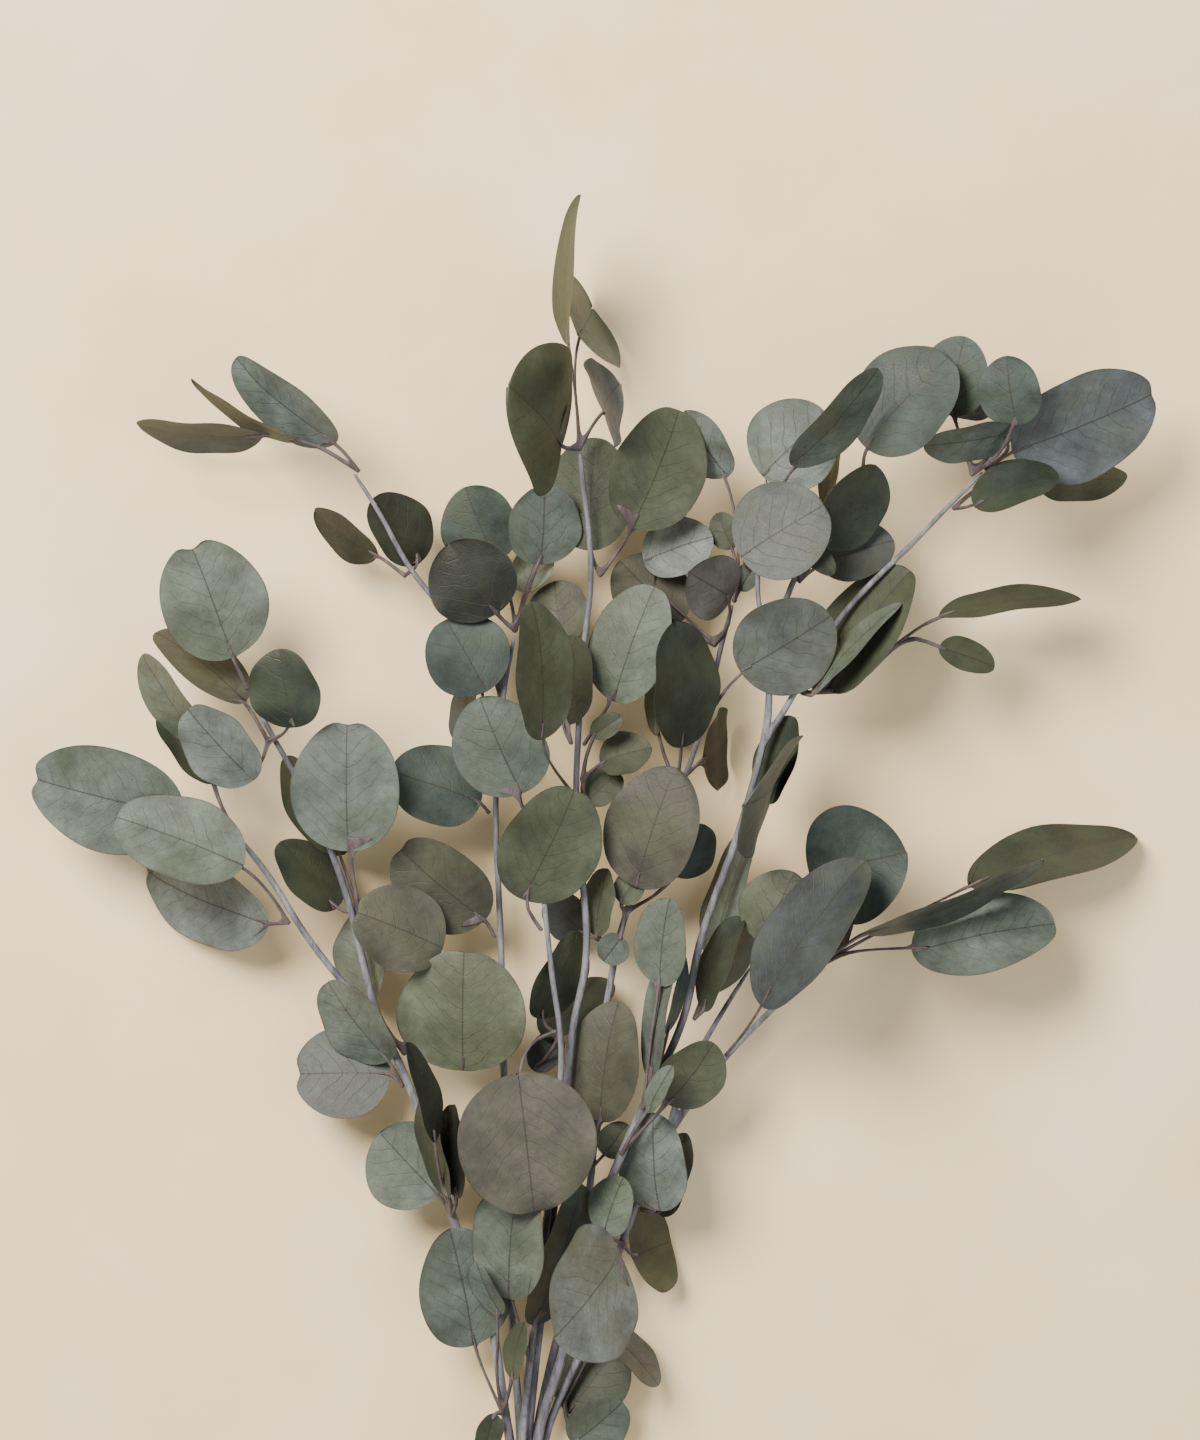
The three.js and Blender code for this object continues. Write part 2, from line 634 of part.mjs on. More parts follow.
function buildBunch() {
  const axes = new Map(STEMS.map((stem) => [stem.name, stemAxes(stem)]));
  const stems = new Map([...axes].map(([name, list]) => [name, stemSolid(list)]));
  const fixed = [...stems.values()].map(placed);

  // Leaves find their heights from the stems outwards, each clear of those already placed.
  const jobs = SPRIGS.flatMap((branch) => {
    const root = rootOf(axes.get(branch.stem), branch);
    return branch.leaves.map((item, order) => ({ branch, item: { ...item, order }, root }));
  });
  jobs.sort((a, b) => Math.abs(a.item.layer) - Math.abs(b.item.layer));
  const parts = new Map(SPRIGS.map((branch) => [branch.name, []]));
  for (const { branch, item, root } of jobs) {
    const own = parts.get(branch.name);
    const others = [...fixed];
    for (const [name, list] of parts) {
      if (name !== branch.name) list.forEach((p) => others.push(p.bladePlace, p.petiolePlace));
    }
    const ownBlades = own.map((p) => p.bladePlace);
    let lift = 0;
    for (; lift <= LIFT_LIMIT; lift += LIFT_STEP) {
      const trial = buildLeaf(root, item, lift, CLEARANCE);
      if (!clashes(trial.blade, [...others, ...ownBlades]) && !clashes(trial.petiole, others)) break;
    }
    const made = buildLeaf(root, item, lift, 0);
    if (lift > LIFT_LIMIT) throw new Error(`no clear height for a leaf of ${branch.name}`);
    own.push({
      ...made,
      root,
      bladePlace: placed(made.blade),
      petiolePlace: placed(made.petiole),
    });
  }

  const group = new THREE.Group();
  for (const [name, solid] of stems) group.add(toMesh(name, solid, BARK));
  for (const [name, list] of parts) {
    const knuckle = new THREE.OctahedronGeometry(KNUCKLE_RADIUS, 0);
    knuckle.translate(list[0].root.x, list[0].root.y, list[0].root.z);
    let solid = toSolid(knuckle);
    for (const { blade, petiole } of list) solid = solid.add(petiole).add(blade);
    group.add(toMesh(name, solid, FOLIAGE));
  }
  group.add(tieMesh());
  return group;
}

function tieMesh() {
  const { inner, outer, width } = TIE;
  const profile = [
    [inner, -width / 2], [outer - 0.6, -width / 2], [outer, -width / 4], [outer, width / 4],
    [outer - 0.6, width / 2], [inner, width / 2], [inner, -width / 2],
  ].map(([r, y]) => new THREE.Vector2(r, y));
  const ring = new THREE.LatheGeometry(profile, 24);
  ring.translate(BUNDLE.x, TIE_Y, BUNDLE.z);
  return toMesh("twine_tie", toSolid(ring), TWINE);
}

const bunch = buildBunch();
const bounds = new THREE.Box3().setFromObject(bunch);
const middle = bounds.getCenter(new THREE.Vector3());
bunch.position.set(-middle.x, -middle.y, -bounds.min.z);

export default bunch;
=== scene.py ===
import math
import random

import bmesh
import bpy
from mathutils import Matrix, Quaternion, Vector, noise


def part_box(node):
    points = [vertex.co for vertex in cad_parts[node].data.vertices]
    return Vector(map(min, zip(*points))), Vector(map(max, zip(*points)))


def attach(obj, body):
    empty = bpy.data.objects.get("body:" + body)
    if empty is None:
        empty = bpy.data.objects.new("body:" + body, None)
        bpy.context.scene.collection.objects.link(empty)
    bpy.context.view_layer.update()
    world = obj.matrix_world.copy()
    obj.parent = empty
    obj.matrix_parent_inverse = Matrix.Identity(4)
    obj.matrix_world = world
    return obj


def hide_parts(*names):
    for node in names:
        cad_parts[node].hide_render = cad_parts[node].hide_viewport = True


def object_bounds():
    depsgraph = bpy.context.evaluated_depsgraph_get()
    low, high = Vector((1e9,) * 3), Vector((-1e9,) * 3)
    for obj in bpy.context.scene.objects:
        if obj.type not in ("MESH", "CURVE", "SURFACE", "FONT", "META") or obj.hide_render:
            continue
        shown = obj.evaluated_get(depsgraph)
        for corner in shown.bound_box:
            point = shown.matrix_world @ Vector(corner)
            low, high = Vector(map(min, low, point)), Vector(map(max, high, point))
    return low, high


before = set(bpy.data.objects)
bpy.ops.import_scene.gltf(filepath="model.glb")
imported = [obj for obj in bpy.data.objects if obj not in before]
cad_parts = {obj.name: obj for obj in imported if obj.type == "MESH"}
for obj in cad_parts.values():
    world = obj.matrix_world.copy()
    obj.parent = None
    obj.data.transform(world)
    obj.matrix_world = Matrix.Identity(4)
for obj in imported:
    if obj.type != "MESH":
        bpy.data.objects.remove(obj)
cad_box = [list(corner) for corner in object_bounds()]

MM = 0.001

# Reading the blades of the frame.
FOLDS = (0.45, 0.4, 0.5, 0.36, 0.55, 0.32, 0.6, 0.27)  # creases in radians, tried in turn
BLADE_BREADTH = 3 * MM  # a blade is broader than this, a stalk is thinner
STATIONS = {0.18: 0.807, 0.5: 1, 0.8: 0.762}  # a blade's spread at three shares of its length
BACK_TO_BACK = -0.8  # a blade's two faces turn away from each other at least this much
RIM_BAND = 0.55  # a rim's corners are further out than this share of the half width
SECTION_GAP = 2 * MM  # sections of a blade are further apart than this
PAIR_ERROR = 3 * MM  # how far from a mirror pair the corners of a blade's rim may be
SIDE_GAP = 6 * MM  # the middles of a blade's two faces are nearer than this
AXIS_TURNS = 360  # directions tried for a blade's midline, over half a turn
BLADE_MARGIN = 0.05  # slack at a blade's ends, as a share of its length
BLADE_BULGE = 0.2  # a blade's corners are nearer its plane than this share of its length
STALK_REACH = 0.16  # a stalk ends inside its blade before this share of the length
STALK_BERTH = 3 * MM  # and keeps within this of its midline
TIP_REACH = 0.3  # loose faces within this share of the length from a tip are the blade's
CRUMB = 15 * MM * MM  # a loose shell of less area is no stalk

# Shape of a leaf.
SHEET = 0.42 * MM  # thickness at the midrib
RIM_THINNING = 0.75  # share of the thickness lost at the rim
ROWS = 30
COLUMNS = 20
ARCH = 0.05  # height of a blade's arch, as a share of its length
CUP = 0.1  # lift of a blade's rim, as a share of its half width
RIM_WAVE = 0.02  # height of the waves of a leaf's rim, as a share of its width
EGG = 0.16  # how much broader a leaf is below its middle than above it
SLENDER = 0.55  # a leaf narrower than this share of its length has pointed ends
ROUND_END, POINTED_END = 0.5, 0.58  # powers of the outline
LEAST_HALF = 0.6 * MM  # half width at the very ends
NICK_REACH = 5 * MM  # half width of a nick at the tip
GROOVE_DEPTH = 0.3 * MM  # of the midrib
GROOVE_REACH = 1.3 * MM
QUILT = 0.5 * MM  # height of the blade's slow unevenness
QUILT_PITCH = 60  # its ups and downs in a metre

# What smoothing takes off the wood is put back first.
STALK_SWELL = 0.22 * MM
STEM_SWELL = 0.32 * MM

# Twine.
TURNS = 7
TURN_STEPS = 40
TWINE_RADIUS = 0.85 * MM

# The bloom on the leaves and their age set their tone; the two darkest tones are painted shade,
# given to leaves that lie in the shadow of others.
TONES = {
    "bloom": "#5C6866",
    "frost": "#656E6C",
    "sage": "#56615A",
    "pale": "#5C665D",
    "grey": "#505654",
    "olive": "#454C3D",
    "moss": "#3A4234",
    "teal": "#374441",
    # Painted shade: the tone of leaves that lie in the shadow of others.
    "slate": "#373D41",
    "deep_shade": "#273028",
    "shade": "#1F2420",
    # Painted shade, darker still: leaves deep in the shadow of others.
    "bronze": "#46463E",
    "tan": "#504F48",
    "rose": "#565655",
    "honey": "#444130",
    "ripe": "#555D4C",
    "dusk": "#50585E",
}

# Each sprig's leaves from left to right.
LEAF_TONES = {
    "leaves_top_left_end": ["slate", "teal", "bloom"],
    "leaves_top_left_low": ["shade", "shade"],
    "leaves_crown_left_top": ["shade", "teal", "pale", "sage"],
    "leaves_crown_left_low": ["slate", "teal"],
    "leaf_crown_grey_green": ["sage"],
    "leaf_crown_olive": ["olive"],
    "leaves_crown_back": ["bronze", "shade"],
    "leaves_far_left_notched": ["sage", "pale", "deep_shade"],
    "leaves_left_pair": ["pale", "frost"],
    "leaves_left_top": ["bronze", "frost", "deep_shade"],
    "leaf_left_top_notched": ["pale"],
    "leaves_left_middle": ["deep_shade", "moss", "sage"],
    "leaf_left_inner_brown": ["bronze"],
    "leaf_left_inner_teal": ["teal"],
    "leaves_left_low_pair": ["pale", "bronze"],
    "leaf_round_front": ["ripe"],
    "leaf_centre_olive": ["olive"],
    "leaves_centre_dark": ["slate", "olive"],
    "leaves_centre_low": ["slate", "moss", "deep_shade"],
    "leaves_low_left_pair": ["grey", "sage"],
    "leaves_low_left_folded": ["sage", "shade", "deep_shade", "shade"],
    "leaf_front_largest": ["tan"],
    "leaves_neck_front": ["pale", "teal"],
    "leaves_neck_right": ["frost", "pale", "honey"],
    "leaves_neck_low_right": ["moss", "sage", "rose"],
    "leaves_neck_left": ["sage", "sage", "olive", "moss"],
    "leaves_top": ["olive", "moss", "sage", "grey"],
    "leaves_top_stem": ["moss", "olive"],
    "leaves_top_right_small": ["frost", "moss", "sage"],
    "leaves_crown_right": ["bronze", "frost", "rose"],
    "leaf_crown_light_half": ["pale"],
    "leaves_right_inner": ["teal", "deep_shade", "shade"],
    "leaves_top_right_end": ["frost", "sage"],
    "leaf_top_right_large": ["teal"],
    "leaves_far_right_up": ["teal", "frost", "teal"],
    "leaves_far_right_end": ["bloom", "dusk"],
    "leaves_far_right_low": ["deep_shade", "moss"],
    "leaves_right_long_twig": ["sage", "moss", "moss", "deep_shade"],
    "leaves_right_back": ["deep_shade", "moss", "deep_shade", "slate"],
    "leaf_right_light_round": ["grey"],
    "leaf_right_grey_round": ["grey"],
    "leaves_centre_back_small": ["moss", "moss", "moss"],
    "leaves_right_inner_low": ["grey", "deep_shade"],
    "leaves_right_centre_front": ["sage", "olive", "bronze", "teal"],
    "leaves_right_narrow": ["sage", "pale", "teal"],
    "leaves_centre_tan": ["bronze", "olive"],
    "leaves_right_slender": ["deep_shade", "sage", "teal"],
    "leaves_right_fan": ["olive", "teal"],
    "leaf_right_slate": ["slate"],
    "leaves_far_right_low_twig": ["grey", "sage", "deep_shade"],
    "leaves_neck_twig": ["sage", "olive"],
    "leaves_neck_right_back": ["frost", "sage"],
}

# Leaves whose tip is nicked, by sprig and place from the left: depth of the nick in mm.
NICKED_TIPS = {
    ("leaf_left_top_notched", 0): 4,
    ("leaves_far_left_notched", 0): 4,
    ("leaves_left_pair", 1): 3,
    ("leaf_round_front", 0): 1.6,
    ("leaf_left_inner_brown", 0): 2.5,
    ("leaves_left_middle", 2): 2.5,
    ("leaves_left_low_pair", 1): 2.5,
    ("leaf_centre_olive", 0): 1.5,
    ("leaf_top_right_large", 0): 1.5,
    ("leaves_far_right_end", 1): 2,
    ("leaf_front_largest", 0): 1,
    ("leaves_low_left_pair", 0): 3,
}


# ---- Materials ------------------------------------------------------------------------------


def colour(hex_value):
    """Linear RGBA of an sRGB hex colour."""
    channels = [int(hex_value[i : i + 2], 16) / 255 for i in (1, 3, 5)]
    flat = [c / 12.92 if c <= 0.04045 else ((c + 0.055) / 1.055) ** 2.4 for c in channels]
    return (*flat, 1)


def add(tree, kind, inputs=None, **settings):
    """Adds a node with its settings. An input is a value, or an output to link from."""
    node = tree.nodes.new(kind)
    for key, value in settings.items():
        setattr(node, key, value)
    for key, value in (inputs or {}).items():
        if isinstance(value, bpy.types.NodeSocket):
            tree.links.new(value, node.inputs[key])
        else:
            node.inputs[key].default_value = value
    return node


def new_material(name):
    material = bpy.data.materials.new(name)
    material.use_nodes = True
    material.node_tree.nodes.clear()
    return material, material.node_tree


def close(tree, shader):
    add(tree, "ShaderNodeOutputMaterial", {"Surface": shader.outputs["BSDF"]})


def leaf_material():
    """Eucalyptus leaf under its wax: matt grey-green, clouded, with dark veins and specks."""
    material, tree = new_material("eucalyptus_leaf_wax")
    blade = add(tree, "ShaderNodeAttribute", attribute_name="blade")
    tone = add(tree, "ShaderNodeAttribute", attribute_name="tone")
    place = add(tree, "ShaderNodeTexCoord").outputs["Object"]
    axes = add(tree, "ShaderNodeSeparateXYZ", {"Vector": blade.outputs["Vector"]})
    lateral = add(tree, "ShaderNodeMath", {0: axes.outputs["X"]}, operation="ABSOLUTE").outputs[0]
    along = axes.outputs["Y"]
    rim = axes.outputs["Z"]

    # Side veins 8.5 mm apart, bowing towards the tip as they near the rim.
    drift = add(tree, "ShaderNodeTexNoise", {"Vector": place, "Scale": 90, "Detail": 2})
    wander = add(
        tree, "ShaderNodeMath", {0: drift.outputs["Fac"], 1: 9}, operation="MULTIPLY"
    ).outputs[0]
    bow = add(
        tree, "ShaderNodeMath", {0: lateral, 1: 1.25}, operation="POWER"
    ).outputs[0]
    rise = add(
        tree, "ShaderNodeMath", {0: bow, 1: -0.42, 2: along}, operation="MULTIPLY_ADD"
    ).outputs[0]
    shifted = add(tree, "ShaderNodeMath", {0: rise, 1: wander}, operation="ADD").outputs[0]
    turn = add(tree, "ShaderNodeMath", {0: shifted, 1: 8.5}, operation="DIVIDE").outputs[0]
    share = add(tree, "ShaderNodeMath", {0: turn}, operation="FRACT").outputs[0]
    centred = add(tree, "ShaderNodeMath", {0: share, 1: 0.5}, operation="SUBTRACT").outputs[0]
    away = add(tree, "ShaderNodeMath", {0: centred}, operation="ABSOLUTE").outputs[0]
    side_vein = add(
        tree,
        "ShaderNodeMapRange",
        {"Value": away, "From Min": 0.01, "From Max": 0.055, "To Min": 1, "To Max": 0},
        interpolation_type="SMOOTHSTEP",
    ).outputs[0]
    fade = add(
        tree,
        "ShaderNodeMapRange",
        {"Value": rim, "From Min": 0.55, "From Max": 0.92, "To Min": 1, "To Max": 0},
    ).outputs[0]
    side_vein = add(
        tree, "ShaderNodeMath", {0: side_vein, 1: fade}, operation="MULTIPLY"
    ).outputs[0]
    midrib = add(
        tree,
        "ShaderNodeMapRange",
        {"Value": lateral, "From Min": 0.15, "From Max": 0.6, "To Min": 1, "To Max": 0},
        interpolation_type="SMOOTHSTEP",
    ).outputs[0]
    # Net of fine veins, 1.6 mm across, drawn a little coarser than life so that it shows.
    net = add(
        tree,
        "ShaderNodeTexVoronoi",
        {"Vector": place, "Scale": 620},
        feature="DISTANCE_TO_EDGE",
    ).outputs["Distance"]
    net_line = add(
        tree,
        "ShaderNodeMapRange",
        {"Value": net, "From Min": 0, "From Max": 0.12, "To Min": 1, "To Max": 0},
    ).outputs[0]

    # Bloom rubbed into clouds 20 mm wide, with finer mottling 4 mm wide over them.
    cloud = add(tree, "ShaderNodeTexNoise", {"Vector": place, "Scale": 50, "Detail": 3})
    mottle = add(
        tree,
        "ShaderNodeTexNoise",
        {"Vector": place, "Scale": 240, "Detail": 5, "Roughness": 0.65},
    )
    cloud_level = add(
        tree,
        "ShaderNodeMapRange",
        {
            "Value": cloud.outputs["Fac"],
            "From Min": 0.3,
            "From Max": 0.7,
            "To Min": 0.6,
            "To Max": 1.3,
        },
    ).outputs[0]
    mottle_level = add(
        tree,
        "ShaderNodeMapRange",
        {
            "Value": mottle.outputs["Fac"],
            "From Min": 0.3,
            "From Max": 0.7,
            "To Min": 0.8,
            "To Max": 1.2,
        },
    ).outputs[0]
    level = add(
        tree, "ShaderNodeMath", {0: cloud_level, 1: mottle_level}, operation="MULTIPLY"
    ).outputs[0]
    body = add(
        tree, "ShaderNodeVectorMath", {0: tone.outputs["Color"], "Scale": level}, operation="SCALE"
    ).outputs["Vector"]
    # Where the bloom is gone the leaf has dried to olive, in patches 40 mm wide.
    dried = add(
        tree, "ShaderNodeTexNoise", {"Vector": place, "Scale": 26, "Detail": 4, "Roughness": 0.6}
    ).outputs["Fac"]
    dried_mask = add(
        tree,
        "ShaderNodeMapRange",
        {"Value": dried, "From Min": 0.44, "From Max": 0.68, "To Min": 0, "To Max": 0.5},
    ).outputs[0]
    body = add(
        tree,
        "ShaderNodeMixRGB",
        {"Fac": dried_mask, "Color1": body, "Color2": colour("#40472E")},
    ).outputs[0]
    # Specks where the wax is broken, a few tenths of a millimetre to a millimetre wide.
    speck = add(
        tree, "ShaderNodeTexVoronoi", {"Vector": place, "Scale": 260, "Randomness": 1}
    ).outputs["Distance"]
    speck_mask = add(
        tree,
        "ShaderNodeMapRange",
        {"Value": speck, "From Min": 0.06, "From Max": 0.13, "To Min": 0.55, "To Max": 0},
    ).outputs[0]
    speckled = add(
        tree,
        "ShaderNodeMixRGB",
        {"Fac": speck_mask, "Color1": body, "Color2": colour("#2A2B21")},
    ).outputs[0]
    netted = add(
        tree,
        "ShaderNodeMixRGB",
        {
            "Fac": add(
                tree, "ShaderNodeMath", {0: net_line, 1: 0.2}, operation="MULTIPLY"
            ).outputs[0],
            "Color1": speckled,
            "Color2": colour("#363C30"),
        },
    ).outputs[0]
    veined = add(
        tree,
        "ShaderNodeMixRGB",
        {
            "Fac": add(
                tree, "ShaderNodeMath", {0: side_vein, 1: 0.42}, operation="MULTIPLY"
            ).outputs[0],
            "Color1": netted,
            "Color2": colour("#33362D"),
        },
    ).outputs[0]
    ribbed = add(
        tree,
        "ShaderNodeMixRGB",
        {
            "Fac": add(
                tree, "ShaderNodeMath", {0: midrib, 1: 0.75}, operation="MULTIPLY"
            ).outputs[0],
            "Color1": veined,
            "Color2": colour("#2E2B27"),
        },
    ).outputs[0]
    rim_line = add(
        tree,
        "ShaderNodeMapRange",
        {"Value": rim, "From Min": 0.965, "From Max": 0.995, "To Min": 0, "To Max": 0.6},
    ).outputs[0]
    finished = add(
        tree,
        "ShaderNodeMixRGB",
        {"Fac": rim_line, "Color1": ribbed, "Color2": colour("#3A3930")},
    ).outputs[0]

    # Veins lie a little sunk in the blade.
    relief = add(
        tree,
        "ShaderNodeMath",
        {0: side_vein, 1: -0.5, 2: mottle.outputs["Fac"]},
        operation="MULTIPLY_ADD",
    ).outputs[0]
    relief = add(
        tree, "ShaderNodeMath", {0: net_line, 1: -0.2, 2: relief}, operation="MULTIPLY_ADD"
    ).outputs[0]
    bump = add(
        tree, "ShaderNodeBump", {"Height": relief, "Strength": 0.45, "Distance": 0.0005}
    ).outputs[0]
    matt = add(
        tree,
        "ShaderNodeMapRange",
        {
            "Value": cloud.outputs["Fac"],
            "From Min": 0.3,
            "From Max": 0.7,
            "To Min": 0.5,
            "To Max": 0.66,
        },
    ).outputs[0]
    shader = add(
        tree,
        "ShaderNodeBsdfPrincipled",
        {
            "Base Color": finished,
            "Roughness": matt,
            "IOR": 1.42,
            "Normal": bump,
        },
    )
    close(tree, shader)
    return material


def bark_material(name, fresh, worn, dark, grain):
    """Young eucalyptus bark: smooth, dusted with pale bloom, darker in fine lengthwise cracks."""
    material, tree = new_material(name)
    place = add(tree, "ShaderNodeTexCoord").outputs["Object"]
    drawn_out = add(
        tree, "ShaderNodeMapping", {"Vector": place, "Scale": (1, 0.18, 1)}
    ).outputs[0]
    dust = add(
        tree, "ShaderNodeTexNoise", {"Vector": drawn_out, "Scale": 160, "Detail": 4}
    ).outputs["Fac"]
    crack = add(
        tree,
        "ShaderNodeTexNoise",
        {"Vector": drawn_out, "Scale": grain, "Detail": 6, "Roughness": 0.7},
    ).outputs["Fac"]
    dust_mask = add(
        tree,
        "ShaderNodeMapRange",
        {"Value": dust, "From Min": 0.38, "From Max": 0.62},
    ).outputs[0]
    dusted = add(
        tree,
        "ShaderNodeMixRGB",
        {"Fac": dust_mask, "Color1": colour(fresh), "Color2": colour(worn)},
    ).outputs[0]
    crack_mask = add(
        tree,
        "ShaderNodeMapRange",
        {"Value": crack, "From Min": 0.5, "From Max": 0.68, "To Min": 0, "To Max": 0.8},
    ).outputs[0]
    cracked = add(
        tree,
        "ShaderNodeMixRGB",
        {"Fac": crack_mask, "Color1": dusted, "Color2": colour(dark)},
    ).outputs[0]
    bump = add(
        tree, "ShaderNodeBump", {"Height": crack, "Strength": 0.5, "Distance": 0.0004}
    ).outputs[0]
    rough = add(
        tree, "ShaderNodeMapRange", {"Value": dust, "To Min": 0.55, "To Max": 0.8}
    ).outputs[0]
    shader = add(
        tree,
        "ShaderNodeBsdfPrincipled",
        {"Base Color": cracked, "Roughness": rough, "IOR": 1.45, "Normal": bump},
    )
    close(tree, shader)
    return material


def cut_wood_material():
    """Freshly cut stem end: dry pale wood, stippled where its fibres are cut across."""
    material, tree = new_material("cut_green_wood")
    place = add(tree, "ShaderNodeTexCoord").outputs["Object"]
    fibre = add(
        tree, "ShaderNodeTexNoise", {"Vector": place, "Scale": 1400, "Detail": 3}
    ).outputs["Fac"]
    mixed = add(
        tree,
        "ShaderNodeMixRGB",
        {"Fac": fibre, "Color1": colour("#B9A67C"), "Color2": colour("#D8C9A0")},
    ).outputs[0]
    bump = add(
        tree, "ShaderNodeBump", {"Height": fibre, "Strength": 0.4, "Distance": 0.0003}
    ).outputs[0]
    shader = add(
        tree,
        "ShaderNodeBsdfPrincipled",
        {"Base Color": mixed, "Roughness": 0.8, "IOR": 1.5, "Normal": bump},
    )
    close(tree, shader)
    return material


def twine_material():
    """Jute twine: dull golden fibre, rough and unevenly tanned. Its plies are in the mesh."""
    material, tree = new_material("jute_twine")
    place = add(tree, "ShaderNodeTexCoord").outputs["Object"]
    fibre = add(
        tree,
        "ShaderNodeTexNoise",
        {"Vector": place, "Scale": 2600, "Detail": 4, "Roughness": 0.7},
    ).outputs["Fac"]
    broad = add(
        tree, "ShaderNodeTexNoise", {"Vector": place, "Scale": 300, "Detail": 2}
    ).outputs["Fac"]
    strand = add(
        tree,
        "ShaderNodeMixRGB",
        {"Fac": fibre, "Color1": colour("#7C6138"), "Color2": colour("#C8A971")},
    ).outputs[0]
    aged = add(
        tree,
        "ShaderNodeMixRGB",
        {
            "Fac": add(
                tree, "ShaderNodeMath", {0: broad, 1: 0.4}, operation="MULTIPLY"
            ).outputs[0],
            "Color1": strand,
            "Color2": colour("#8F7448"),
        },
    ).outputs[0]
    bump = add(
        tree, "ShaderNodeBump", {"Height": fibre, "Strength": 0.8, "Distance": 0.0003}
    ).outputs[0]
    shader = add(
        tree,
        "ShaderNodeBsdfPrincipled",
        {"Base Color": aged, "Roughness": 0.92, "IOR": 1.5, "Normal": bump},
    )
    close(tree, shader)
    return material


def plaster_material():
    """Pale lime-washed floor: matt cream, faintly clouded."""
    material, tree = new_material("lime_washed_plaster")
    place = add(tree, "ShaderNodeTexCoord").outputs["Object"]
    cloud = add(
        tree, "ShaderNodeTexNoise", {"Vector": place, "Scale": 5, "Detail": 6, "Roughness": 0.6}
    ).outputs["Fac"]
    cloud_mask = add(
        tree, "ShaderNodeMapRange", {"Value": cloud, "From Min": 0.35, "From Max": 0.65}
    ).outputs[0]
    mixed = add(
        tree,
        "ShaderNodeMixRGB",
        {"Fac": cloud_mask, "Color1": colour("#F6DEAE"), "Color2": colour("#FDECC4")},
    ).outputs[0]
    shader = add(
        tree, "ShaderNodeBsdfPrincipled", {"Base Color": mixed, "Roughness": 0.9}
    )
    close(tree, shader)
    return material


LEAF = leaf_material()
BARK = bark_material("eucalyptus_bark_bloomed", "#565660", "#81848C", "#302E33", 900)
STALK = bark_material("eucalyptus_stalk", "#4C4144", "#655E60", "#2A2325", 1500)
CUT_WOOD = cut_wood_material()
TWINE = twine_material()


# ---- Reading the frame's blades -------------------------------------------------------------


def merged_copy(node):
    mesh = bmesh.new()
    mesh.from_mesh(node.data)
    bmesh.ops.remove_doubles(mesh, verts=mesh.verts, dist=1e-6)
    return mesh


def regions(mesh, crosses):
    """Lists of the mesh's faces that hang together over the edges that crosses lets through."""
    found = []
    seen = set()
    for first in mesh.faces:
        if first in seen:
            continue
        seen.add(first)
        region = []
        queue = [first]
        while queue:
            here = queue.pop()
            region.append(here)
            for edge in here.edges:
                if not crosses(edge):
                    continue
                for other in edge.link_faces:
                    if other not in seen:
                        seen.add(other)
                        queue.append(other)
        found.append(region)
    return found


def is_seam_of_two(edge):
    return len(edge.link_faces) == 2


def smooth_patches(mesh, fold):
    return regions(mesh, lambda edge: is_seam_of_two(edge) and edge.calc_face_angle() <= fold)


def describe(patch):
    """A patch's faces, area, mean direction, middle and breadth across."""
    area = sum(face.calc_area() for face in patch)
    normal = sum((face.normal * face.calc_area() for face in patch), Vector())
    centre = sum((face.calc_center_median() * face.calc_area() for face in patch), Vector()) / area
    corners = {vertex for face in patch for vertex in face.verts}
    reach = 2 * max((vertex.co - centre).length for vertex in corners)
    return {
        "faces": set(patch),
        "area": area,
        "normal": normal.normalized(),
        "centre": centre,
        "reach": reach,
    }


def find_blades(mesh, count):
    """The blades of a sprig, from left to right, at the crease angle that tells most of them."""
    best = []
    for fold in FOLDS:
        blades = [blade for blade in paired_sides(mesh, fold) if blade]
        if len(best) < len(blades) <= count:
            best = blades
        if len(best) == count:
            break
    return sorted(best, key=lambda blade: blade["centre"].x)


def paired_sides(mesh, fold):
    """A blade, or None, for every two broad patches that lie back to back."""
    sides = [describe(patch) for patch in smooth_patches(mesh, fold)]
    sides = [side for side in sides if side["area"] / side["reach"] > BLADE_BREADTH]
    blades = []
    while sides:
        one = sides.pop()
        facing = [other for other in sides if other["normal"].dot(one["normal"]) < BACK_TO_BACK]
        if not facing:
            continue
        two = min(facing, key=lambda other: (other["centre"] - one["centre"]).length)
        if (two["centre"] - one["centre"]).length > SIDE_GAP:
            continue
        sides.remove(two)
        blades.append(blade_from(one, two))
    return blades


def rim_sections(rim, axis, normal):
    """Sections across the blade from its rim's corners, each with its error as a mirror pair."""
    across = axis.cross(normal)
    offsets = [p.dot(across) for p in rim]
    middle = (max(offsets) + min(offsets)) / 2
    reach = max(offsets) - middle
    left = [p for p, offset in zip(rim, offsets) if offset < middle - RIM_BAND * reach]
    right = [p for p, offset in zip(rim, offsets) if offset > middle + RIM_BAND * reach]
    pairs = []
    for p in left:
        q = min(right, key=lambda other: abs((other - p).dot(axis)))
        error = abs((q - p).dot(axis)) + abs((q + p).dot(across) - 2 * middle)
        pairs.append((error, (p + q) / 2, (p - q).length))
    kept = []
    for pair in sorted(pairs, key=lambda pair: pair[0]):
        if all(abs((pair[1] - other[1]).dot(axis)) > SECTION_GAP for other in kept):
            kept.append(pair)
    return kept[: len(STATIONS)]


